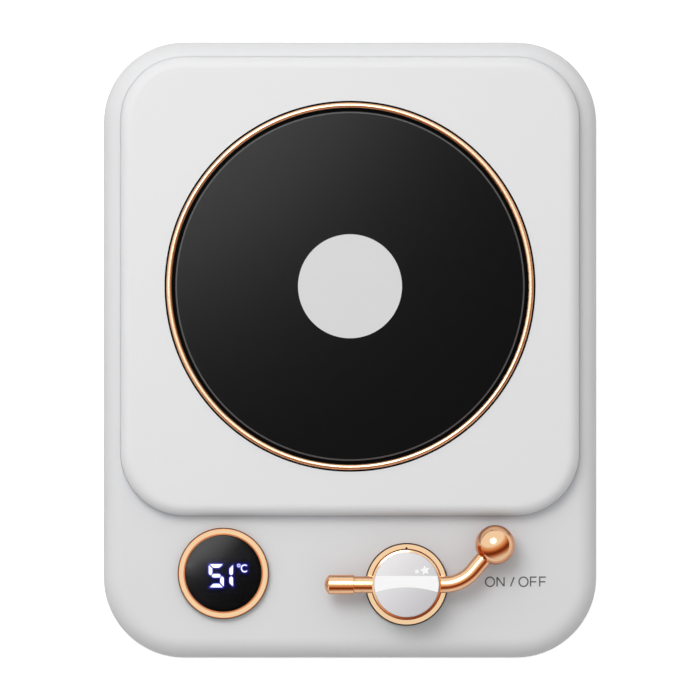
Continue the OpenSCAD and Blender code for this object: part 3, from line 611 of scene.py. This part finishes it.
def glow_material():
    """Light that leaks round the digits, by the mesh's own glow attribute."""
    made = Finish("display_glow", srgb(2, 2, 3), 0.6, Specular_IOR_Level=0.05)
    glow = made.node("ShaderNodeAttribute", attribute_name="glow")
    blue = made.node("ShaderNodeMix", data_type="RGBA")
    blue.inputs[MIX_FIRST].default_value = (0, 0, 0, 1)
    blue.inputs[MIX_SECOND].default_value = (0.05, 0.03, 1.0, 1)
    made.link(glow.outputs["Fac"], blue.inputs[MIX_FACTOR])
    made.link(blue.outputs[MIX_RESULT], made.shader.inputs["Emission Color"])
    made.set("Emission Strength", 2.0)
    return made.material


def display_glow(centre, height, shapes):
    """A fine grid behind the digits, whose glow falls off with distance from them."""
    low, high = Vector((-5.2 * MM, -5.0 * MM)), Vector((7.4 * MM, 3.8 * MM))
    pitch = 0.14 * MM
    reach = 0.2 * MM
    across = round((high.x - low.x) / pitch)
    along = round((high.y - low.y) / pitch)
    bm = bmesh.new()
    layer = bm.verts.layers.float.new("glow")
    rows = []
    for j in range(along + 1):
        row = []
        for i in range(across + 1):
            point = Vector((low.x + pitch * i, low.y + pitch * j))
            near = min(distance_to_outline(point, shape) for shape in shapes)
            vert = bm.verts.new((centre.x + point.x, centre.y + point.y, height))
            vert[layer] = math.exp(-near / reach)
            row.append(vert)
        rows.append(row)
    for low_row, high_row in zip(rows, rows[1:]):
        for i in range(across):
            bm.faces.new((low_row[i], low_row[i + 1], high_row[i + 1], high_row[i]))
    add_piece("display_glow", bm, "housing", glow_material())


def display_mask(centre, radius, floor):
    """Black lacquer behind the digits."""
    border = 0.05 * MM
    bm = bmesh.new()
    add_disc(bm, radius - border, floor + MASK_LOW, floor + MASK_HIGH, centre)
    black = Finish("display_mask", srgb(2, 2, 3), 0.6, Specular_IOR_Level=0.05)
    black.vary_roughness(black.noise(0.2 * MM), 0.05)
    add_piece("display_mask", bm, "housing", black.material)


def display_digits(centre, floor, shapes):
    """The lit bars, the degree ring and the letter C."""
    bm = bmesh.new()
    for outline in shapes:
        add_prism(bm, shifted(outline, centre.x, centre.y), floor + DIGITS_LOW, floor + DIGITS_HIGH)
    lit = Finish("lit_segment", srgb(240, 242, 255), 0.5)
    lit.set("Emission Color", (0.93, 0.94, 1.0, 1.0))
    lit.set("Emission Strength", 3.6)
    lit.mottle(lit.noise(0.5 * MM), 0.02)
    add_piece("display_digits", bm, "housing", lit.material)


def display_window(centre, radius, floor, top):
    """Domed smoked window with a rounded edge, in place of the CAD lens."""
    gap = 0.02 * MM
    edge = 0.22 * MM
    dome_rise = 0.35 * MM
    dome_steps = 24
    dome_radius = (radius ** 2 + dome_rise ** 2) / (2 * dome_rise)
    low = floor + WINDOW_LOW
    profile = [(0, low), (radius - gap, low)]
    profile += arc((radius - edge, top - dome_rise - edge), edge - gap, 0, 80, 6)
    for i in range(1, dome_steps):
        reach = (radius - edge) * (1 - i / dome_steps)
        profile.append((reach, top - dome_radius + math.sqrt(dome_radius ** 2 - reach ** 2)))
    profile.append((0, top))
    bm = bmesh.new()
    add_lathe(bm, profile, centre)
    smoked = finishes["smoked_lens"].material
    return add_piece("display_window", bm, "housing", smoked, ["display_lens"])


def display():
    """Black mask, glow and lit digits under the smoked window, which is returned."""
    centre, _, radius = round_size("display_lens")
    floor, top = (corner.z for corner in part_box("display_lens"))
    shapes = lit_outlines()
    display_mask(centre, radius, floor)
    display_glow(centre, floor + GLOW_AT, shapes)
    display_digits(centre, floor, shapes)
    return display_window(centre, radius, floor, top)


# ---- Knob ----


def star_outline(centre, radius, turn):
    """A star with five blunt points, whose notches are about half way in."""
    points = 5
    notch = 0.52
    outline = []
    for i in range(2 * points):
        reach = radius * notch if i % 2 else radius
        angle = turn + math.pi * i / points
        outline.append((centre[0] + reach * math.cos(angle), centre[1] + reach * math.sin(angle)))
    return outline


def band_outline(radius, upper, arch_middle, arch_end):
    """A band across a disc, straight above and arched below."""
    half = math.sqrt(radius ** 2 - arch_end ** 2)
    drop = arch_middle - arch_end
    arch_radius = (half ** 2 + drop ** 2) / (2 * drop)
    spread = math.degrees(math.asin(half / arch_radius))
    top = math.degrees(math.asin(upper / radius))
    foot = math.degrees(math.asin(arch_end / radius))
    right = arc((0, 0), radius, foot, top, 10)
    left = arc((0, 0), radius, 180 - top, 180 - foot, 10)
    arch = arc((0, arch_middle - arch_radius), arch_radius, 90 + spread, 90 - spread, 32)
    return right + left + arch[1:-1]


def knob_rim():
    """Shallow copper cone round the pearl disc, on the rim of the cup."""
    overlap = 0.14 * MM
    setback = 0.01 * MM
    lip = 0.06 * MM
    root = 0.1 * MM
    slope = math.radians(18)
    centre, _, inlay = round_size("knob_inlay")
    _, _, cup = round_size("knob_cup")
    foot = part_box("knob_cup")[1].z
    inner, outer = inlay - overlap, cup - setback
    low = foot + lip
    high = low + (outer - inner) * math.tan(slope)
    bm = bmesh.new()
    add_lathe(bm, [(inner, foot - root), (outer, foot - root), (outer, low), (inner, high)], centre)
    add_piece("knob_rim", bm, "tonearm", finishes["copper_trim"].material)


def index_dot():
    """Dark dot in the index hole of the knob's bezel."""
    radius = 0.3 * MM
    from_bore = 0.12 * MM
    depth = 0.2 * MM
    proud = 0.03 * MM
    centre, bore, _ = round_size("knob_bezel")
    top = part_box("knob_bezel")[1].z
    bm = bmesh.new()
    add_disc(bm, radius, top - depth, top + proud, (centre.x, centre.y + bore + from_bore), 24)
    add_piece("index_dot", bm, "housing", finishes["black_rubber"].material)


def knob_ornament():
    """White band and two stars on the pearl disc."""
    border = 0.32 * MM
    centre, _, radius = round_size("knob_inlay")
    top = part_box("knob_inlay")[1].z
    shapes = [
        band_outline(radius - border, upper=2.32 * MM, arch_middle=-0.72 * MM, arch_end=-1.98 * MM),
        star_outline((4.85 * MM, 3.78 * MM), radius=1.36 * MM, turn=math.radians(100)),
        star_outline((2.74 * MM, 3.46 * MM), radius=0.78 * MM, turn=math.radians(78)),
    ]
    bm = bmesh.new()
    for outline in shapes:
        add_prism(bm, shifted(outline, centre.x, centre.y), top - PRINT_SKIN, top + PRINT_SKIN)
    white = Finish("white_enamel", srgb(252, 252, 252), 0.3)
    white.vary_roughness(white.noise(0.5 * MM), 0.04)
    white.mottle(white.noise(2 * MM), 0.01)
    add_piece("knob_ornament", bm, "tonearm", white.material)


# ---- Thin rings ----

# How far trim rises above the solid that it covers
SKIN = 0.01 * MM
RING_STEPS = 256


def add_ring(name, inner, outer, low, high, centre, material):
    """A flat ring with softened edges."""
    soft = min(outer - inner, high - low) * 0.25
    profile = [(inner, low), (outer, low), (outer, high - soft), (outer - soft, high),
               (inner + soft, high), (inner, high - soft)]
    bm = bmesh.new()
    add_lathe(bm, profile, centre, RING_STEPS)
    add_piece(name, bm, "housing", material)


def ring_painted_shadow():
    """Painted shadow: a black ring in the gap between the copper ring and the edge of its well, standing for
    the shade in that gap.
    """
    tuck = 0.04 * MM
    width = 0.58 * MM
    depth = 1.5 * MM
    proud = 0.05 * MM
    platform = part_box("platform_cover")[1].z
    centre, _, outer = round_size("trim_ring")
    black = finishes["black_rubber"].material
    add_ring("ring_painted_shadow", outer - tuck, outer + width, platform - depth, platform + proud, centre, black)


def ring_skin(name, start, end, material):
    """A skin on the trim ring's round top, between two angles in degrees up from its outer side."""
    centre, inner, outer = round_size("trim_ring")
    rounding = (outer - inner) / 2
    axis = ((inner + outer) / 2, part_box("trim_ring")[1].z - rounding)
    outside = arc(axis, rounding + SKIN, start, end, 12)
    inside = arc(axis, rounding - SKIN, end, start, 12)
    bm = bmesh.new()
    add_lathe(bm, outside + inside, centre, RING_STEPS)
    add_piece(name, bm, "housing", material)


def bezel_rings(bezel, edges, rings):
    """Flat rings side by side on a bezel, from the inside out.

    The edges between them are lengths in from the bezel's outer radius.
    """
    depth = 0.38 * MM
    centre, _, radius = round_size(bezel)
    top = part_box(bezel)[1].z + SKIN
    for (name, material), inner, outer in zip(rings, edges, edges[1:]):
        add_ring(name, radius - inner, radius - outer, top - depth, top, centre, material)


def ground_edge():
    """The glass plate's bare ground edge, paler than its printed face."""
    chamfer = 0.4 * MM
    root = 0.1 * MM
    centre, _, radius = round_size("glass_plate")
    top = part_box("glass_plate")[1].z
    profile = [(radius - chamfer - root / 2, top - root), (radius - root, top - chamfer - root),
               (radius + SKIN, top - chamfer), (radius - chamfer, top + SKIN)]
    bm = bmesh.new()
    add_lathe(bm, profile, centre, RING_STEPS)
    ground = Finish("ground_glass", srgb(92, 93, 94), 0.5)
    ground.vary_roughness(ground.noise(0.2 * MM), 0.08)
    ground.bump(ground.noise(0.08 * MM), 4e-6)
    add_piece("ground_edge", bm, "housing", ground.material)


# Tones of the trim's copper, beside the one that the record names: darker copper for painted shade on edges,
# paler copper for a painted highlight on the trim ring's crown, near-black for painted shadow on the bezels'
# outlines, and the plain copper of the bezels' flat tops
painted_shade_copper = polished("painted_shade_copper", (0.74, 0.29, 0.12, 1.0), 0.2).material
ring_painted_shade = polished("ring_painted_shade", (0.9, 0.52, 0.32, 1.0), 0.42).material
ring_painted_highlight = polished("ring_painted_highlight", (0.97, 0.78, 0.54, 1.0), 0.22).material
bezel_crown = polished("bezel_crown", (0.89, 0.63, 0.38, 1.0), 0.12).material
painted_shadow_copper = polished("painted_shadow_copper", (0.05, 0.03, 0.03, 1.0), 0.3).material

on_off_print()
window = display()
knob_rim()
index_dot()
knob_ornament()
ring_painted_shadow()
# painted shade on the trim ring's outer and inner roundings
ring_skin("ring_outer_edge", 0, 50, ring_painted_shade)
# painted highlight along the trim ring's crown
ring_skin("ring_painted_highlight", 58, 122, ring_painted_highlight)
ring_skin("ring_inner_edge", 130, 180, ring_painted_shade)
# painted shade on the display bezel's inner and outer edges, and painted shadow on its outline
bezel_rings(
    "display_bezel", [1.9 * MM, 1.6 * MM, 0.37 * MM, 0.16 * MM, -0.02 * MM],
    [("display_inner_edge", painted_shade_copper), ("display_crown", bezel_crown),
     ("display_outer_edge", painted_shade_copper), ("display_outline", painted_shadow_copper)],
)
# painted shadow on the knob bezel's outline
bezel_rings(
    "knob_bezel", [1.58 * MM, 0.24 * MM, -0.02 * MM],
    [("knob_crown", bezel_crown), ("knob_outline", painted_shadow_copper)],
)
ground_edge()


# ---- Studio ----

# The camera's view at the height of the deck, and its height above it
VIEW_WIDTH = 0.1846
VIEW_DISTANCE = 6.0
SENSOR_WIDTH = 36.0
FAR_CLIP = 20.0

# The floor lies a hair below the feet, and glows a little for the camera and for metal and glass
FLOOR_HALF = 8.0
FLOOR_DROP = 0.05 * MM
FLOOR_PAINT = (0.8, 0.8, 0.8, 1)
FLOOR_GLOW = 0.7
FLOOR_SHEEN = 0.2

# Ambient light, brightest a little behind the point overhead
HORIZON = (0.36, 0.36, 0.36, 1)
ZENITH = (0.74, 0.74, 0.74, 1)
SKY_AXIS = Vector((0, 0.35, 1)).normalized()

# What the camera sees behind the object, and what lights the casing by way of the copper
BACKDROP = (1, 1, 1, 1)
THROWN = (0.0, 0.5, 1.2, 1)

# Lamps that light the object
HIGH_KEY = {"place": (-0.235, 0.441, 0.866), "size": 0.5, "power": 2.0}
LOW_KEY = {"place": (-0.354, 0.612, 0.707), "size": 1.0, "power": 1.75}
NEAR_KEY = {"place": (-0.09, 0.09, 0.3), "size": 0.2, "power": 0.12}

# Lamps that are only seen in reflections
SPARK = {"place": (-0.25, 0.56, 1.37), "size": 0.88, "power": 8.9}
PLATE_CARD = {"place": (-0.086, 0.116, 0.25), "size": 0.234, "power": 2.32}
LENS_CARD = {"place": (-0.08, 0.008, 0.2), "size": 0.136, "power": 6.6}

# What metal mirrors, by how far a direction leans to the bright side
BRIGHT_SIDE = Vector((-0.35, 0.8, 0.48)).normalized()
REFLECTED = [
    (-0.79, (0.8, 0.82, 0.85, 1)),
    (-0.64, (0.6, 0.4, 0.32, 1)),
    (-0.45, (0.34, 0.1, 0.04, 1)),
    (-0.26, (0.13, 0.018, 0.003, 1)),
    (-0.07, (0.34, 0.09, 0.03, 1)),
    (0.13, (0.72, 0.33, 0.14, 1)),
    (0.3, (0.8, 0.56, 0.4, 1)),
    (0.45, (1.0, 1.0, 1.0, 1)),
]


def add_camera():
    """Looks straight down at the middle of the object."""
    data = bpy.data.cameras.new("camera")
    data.sensor_width = SENSOR_WIDTH
    data.lens = SENSOR_WIDTH * VIEW_DISTANCE / VIEW_WIDTH
    data.clip_end = FAR_CLIP
    camera = bpy.data.objects.new("camera", data)
    camera.location = (0, 0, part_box("deck_shell")[1].z + VIEW_DISTANCE)
    bpy.context.scene.collection.objects.link(camera)
    bpy.context.scene.camera = camera


def add_lamp(name, place, size, power):
    """A round soft lamp at place, aimed at the middle of the object and unseen by the camera."""
    data = bpy.data.lights.new(name, "AREA")
    data.shape = "DISK"
    data.size = size
    data.energy = power
    lamp = bpy.data.objects.new(name, data)
    lamp.location = place
    lamp.rotation_euler = Vector(place).to_track_quat("Z", "Y").to_euler()
    lamp.visible_camera = False
    bpy.context.scene.collection.objects.link(lamp)
    return lamp


def add_card(name, place, size, power, pieces, kept_out=False):
    """A lamp that only shows in reflections, for some pieces alone or for all but them."""
    card = add_lamp(name, place, size, power)
    card.visible_diffuse = False
    receivers = bpy.data.collections.new(name + "_receivers")
    for piece in pieces:
        receivers.objects.link(piece)
    if kept_out:
        for entry in receivers.collection_objects:
            entry.light_linking.link_state = "EXCLUDE"
    card.light_linking.receiver_collection = receivers


def add_lamps(plate, window):
    """Three soft lamps from the upper left, and the cards that metal and glass reflect."""
    for name, lamp in {"high_key": HIGH_KEY, "low_key": LOW_KEY, "near_key": NEAR_KEY}.items():
        add_lamp(name, **lamp).visible_glossy = False
    add_card("spark_card", **SPARK, pieces=[plate, window], kept_out=True)
    add_card("plate_card", **PLATE_CARD, pieces=[plate])
    add_card("lens_card", **LENS_CARD, pieces=[window])


def floor_white():
    """White paint that keeps a faint shadow, and reads as white to camera, metal and glass."""
    material = bpy.data.materials.new("floor_white")
    shading = Shading(material)
    paint = shading.node("ShaderNodeBsdfDiffuse")
    paint.inputs["Color"].default_value = FLOOR_PAINT
    glow = shading.node("ShaderNodeEmission")
    total = shading.node("ShaderNodeAddShader")
    rays = shading.node("ShaderNodeLightPath").outputs
    mirrored = shading.maths("MAXIMUM", rays["Is Glossy Ray"], rays["Is Transmission Ray"])
    seen = shading.maths("MULTIPLY", rays["Is Camera Ray"], FLOOR_GLOW)
    shading.link(shading.maths("MULTIPLY_ADD", mirrored, FLOOR_SHEEN, seen), glow.inputs["Strength"])
    shading.link(paint.outputs[0], total.inputs[0])
    shading.link(glow.outputs[0], total.inputs[1])
    shading.link(total.outputs[0], shading.node("ShaderNodeOutputMaterial").inputs["Surface"])
    return material


def add_floor():
    """A wide plain floor under the feet."""
    bm = bmesh.new()
    bmesh.ops.create_grid(bm, x_segments=1, y_segments=1, size=FLOOR_HALF)
    mesh = bpy.data.meshes.new("floor")
    bm.to_mesh(mesh)
    bm.free()
    mesh.materials.append(floor_white())
    floor = bpy.data.objects.new("floor", mesh)
    floor.location.z = -FLOOR_DROP
    bpy.context.scene.collection.objects.link(floor)


def add_world():
    """Ambient light from above, a white backdrop, and the studio that metal mirrors.

    Light that reaches the casing by way of copper comes from a bluer surround, so that it leaves no
    warm stain there.
    """
    world = bpy.data.worlds.new("studio")
    bpy.context.scene.world = world
    shading = Shading(world)
    rays = shading.node("ShaderNodeLightPath").outputs
    low, high = REFLECTED[0][0], REFLECTED[-1][0]
    stops = [((place - low) / (high - low), colour) for place, colour in REFLECTED]
    side = shading.span(shading.along(BRIGHT_SIDE, "Generated"), low, high)
    studio = shading.background()
    shading.link(shading.ramp(side, stops), studio.inputs["Color"])
    ambient = shading.background()
    height = shading.span(shading.along(SKY_AXIS, "Generated"), 0, 1)
    shading.link(shading.ramp(height, [(0, HORIZON), (1, ZENITH)]), ambient.inputs["Color"])
    thrown = shading.maths("GREATER_THAN", rays["Diffuse Depth"], 0.5)
    mirrored = shading.blend(thrown, studio, shading.background(THROWN))
    lit = shading.blend(rays["Is Glossy Ray"], ambient, mirrored)
    seen = shading.blend(rays["Is Camera Ray"], lit, shading.background(BACKDROP))
    shading.link(seen.outputs[0], shading.node("ShaderNodeOutputWorld").inputs["Surface"])


add_camera()
add_floor()
add_world()
add_lamps(nodes["glass_plate"], window)
bpy.context.scene.view_settings.view_transform = "Standard"
